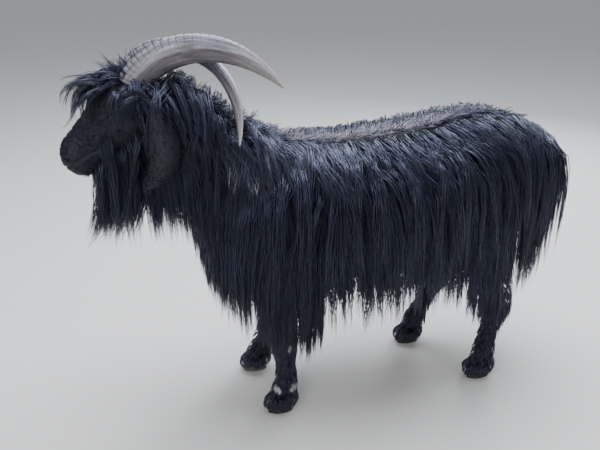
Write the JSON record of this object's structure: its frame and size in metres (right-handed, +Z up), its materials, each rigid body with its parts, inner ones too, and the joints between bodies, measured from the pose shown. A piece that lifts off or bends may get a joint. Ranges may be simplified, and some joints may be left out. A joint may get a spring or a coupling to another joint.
{
  "type": "dagestan goat, standing, still life-size model",
  "caption": "Standing Dagestan buck goat with a long black hanging coat, beard, forelock, drooping ears and horns sweeping back and outwards",
  "frame": {"origin": "on the floor under the middle of the bounding box", "axes": "the goat faces -X, its left side is -Y, +Z is up"},
  "size_m": [1.2993, 0.4482, 0.958],
  "materials": {
    "long_coat": "long silky black hair in hanging locks, cool grey sheen on the back",
    "face_coat": "short flat black hair with a soft sheen",
    "horn": "grey keratin horn with crosswise ripples, paler towards the tip",
    "hoof": "dark grey-brown keratin, worn and slightly rough",
    "eye": "dark amber, wet and glossy"
  },
  "bodies": {
    "root": {"ear_left": "face_coat", "ear_right": "face_coat", "eye_left": "eye", "eye_right": "eye", "fore_left_claw_inner": "hoof", "fore_left_claw_outer": "hoof", "fore_left_dewclaw_inner": "hoof", "fore_left_dewclaw_outer": "hoof", "fore_left_shank": "long_coat", "fore_left_thigh": "long_coat", "fore_right_claw_inner": "hoof", "fore_right_claw_outer": "hoof", "fore_right_dewclaw_inner": "hoof", "fore_right_dewclaw_outer": "hoof", "fore_right_shank": "long_coat", "fore_right_thigh": "long_coat", "head": "face_coat", "hind_left_claw_inner": "hoof", "hind_left_claw_outer": "hoof", "hind_left_dewclaw_inner": "hoof", "hind_left_dewclaw_outer": "hoof", "hind_left_shank": "long_coat", "hind_left_thigh": "long_coat", "hind_right_claw_inner": "hoof", "hind_right_claw_outer": "hoof", "hind_right_dewclaw_inner": "hoof", "hind_right_dewclaw_outer": "hoof", "hind_right_shank": "long_coat", "hind_right_thigh": "long_coat", "horn_left": "horn", "horn_right": "horn", "jaw": "face_coat", "neck": "long_coat", "tail": "long_coat", "torso": "long_coat"}
  },
  "joints": []
}
